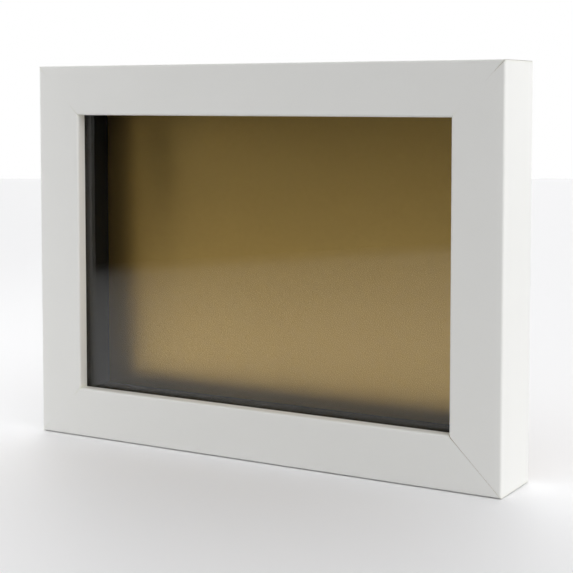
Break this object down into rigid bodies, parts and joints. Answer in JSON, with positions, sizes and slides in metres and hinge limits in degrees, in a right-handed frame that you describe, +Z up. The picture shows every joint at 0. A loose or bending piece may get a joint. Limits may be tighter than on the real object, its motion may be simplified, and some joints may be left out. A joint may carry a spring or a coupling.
{
  "type": "shadow box",
  "caption": "Rear-loaded shadow box: white mitred box frame, glass, black side walls and a gold back, with turn buttons, hanging rings and a flat base to stand on.",
  "frame": {"origin": "middle of the frame's underside, on the surface that it stands on", "axes": "+Z up, -Y out of the glazed front, +X to the viewer's right when the front is looked at"},
  "size_m": [0.246, 0.0369, 0.183],
  "materials": {
    "white_lacquer": "satin white lacquer on a wooden moulding, bare pale wood on the rear face",
    "black_board": "matt black dyed board",
    "clear_glass": "clear float glass, polished",
    "gold_card": "satin metallic gold foil on card",
    "fibreboard": "raw brown fibreboard",
    "zinc_steel": "bright zinc plate",
    "nail_steel": "blank spring steel",
    "brass_plate": "brass-plated pressed steel",
    "white_rubber": "matt soft rubber"
  },
  "bodies": {
    "frame": {"lower_rail": "white_lacquer", "upper_rail": "white_lacquer", "left_rail": "white_lacquer", "right_rail": "white_lacquer", "lower_spacer": "black_board", "upper_spacer": "black_board", "left_spacer": "black_board", "right_spacer": "black_board", "glass_pane": "clear_glass", "lower_left_v_nail_outer": "nail_steel", "lower_left_v_nail_inner": "nail_steel", "lower_right_v_nail_outer": "nail_steel", "lower_right_v_nail_inner": "nail_steel", "upper_left_v_nail_outer": "nail_steel", "upper_left_v_nail_inner": "nail_steel", "upper_right_v_nail_outer": "nail_steel", "upper_right_v_nail_inner": "nail_steel", "lower_button_screw_a": "zinc_steel", "lower_button_screw_b": "zinc_steel", "upper_button_screw_a": "zinc_steel", "upper_button_screw_b": "zinc_steel", "left_button_screw": "zinc_steel", "right_button_screw": "zinc_steel", "left_strap_screw": "zinc_steel", "right_strap_screw": "zinc_steel", "left_ring_strap": "zinc_steel", "right_ring_strap": "zinc_steel", "left_wall_bumper": "white_rubber", "right_wall_bumper": "white_rubber"},
    "back_panel": {"back_panel": "fibreboard", "gold_backing_card": "gold_card"},
    "lower_turn_button_a": {"lower_turn_button_a": "brass_plate"},
    "lower_turn_button_b": {"lower_turn_button_b": "brass_plate"},
    "upper_turn_button_a": {"upper_turn_button_a": "brass_plate"},
    "upper_turn_button_b": {"upper_turn_button_b": "brass_plate"},
    "left_turn_button": {"left_turn_button": "brass_plate"},
    "right_turn_button": {"right_turn_button": "brass_plate"},
    "left_hanging_ring": {"left_hanging_ring": "zinc_steel"},
    "right_hanging_ring": {"right_hanging_ring": "zinc_steel"}
  },
  "joints": [
    {"name": "back_panel_lift", "type": "slide", "parent": "frame", "child": "back_panel", "axis": [0, 1, 0], "range_m": [0, 0.06]},
    {"name": "lower_button_turn_a", "type": "hinge", "parent": "frame", "child": "lower_turn_button_a", "pos_m": [-0.06, 0.01675, 0.0086], "axis": [0, -1, 0], "range_deg": [0, 90]},
    {"name": "lower_button_turn_b", "type": "hinge", "parent": "frame", "child": "lower_turn_button_b", "pos_m": [0.06, 0.01675, 0.0086], "axis": [0, 1, 0], "range_deg": [0, 90]},
    {"name": "upper_button_turn_a", "type": "hinge", "parent": "frame", "child": "upper_turn_button_a", "pos_m": [0.06, 0.01675, 0.1744], "axis": [0, -1, 0], "range_deg": [0, 90]},
    {"name": "upper_button_turn_b", "type": "hinge", "parent": "frame", "child": "upper_turn_button_b", "pos_m": [-0.06, 0.01675, 0.1744], "axis": [0, 1, 0], "range_deg": [0, 90]},
    {"name": "left_button_turn", "type": "hinge", "parent": "frame", "child": "left_turn_button", "pos_m": [-0.1144, 0.01675, 0.062], "axis": [0, -1, 0], "range_deg": [0, 90]},
    {"name": "right_button_turn", "type": "hinge", "parent": "frame", "child": "right_turn_button", "pos_m": [0.1144, 0.01675, 0.062], "axis": [0, 1, 0], "range_deg": [0, 90]},
    {"name": "left_ring_swing", "type": "hinge", "parent": "frame", "child": "left_hanging_ring", "pos_m": [-0.1144, 0.01825, 0.14], "axis": [1, 0, 0], "range_deg": [0, 180]},
    {"name": "right_ring_swing", "type": "hinge", "parent": "frame", "child": "right_hanging_ring", "pos_m": [0.1144, 0.01825, 0.14], "axis": [1, 0, 0], "range_deg": [0, 180]}
  ]
}
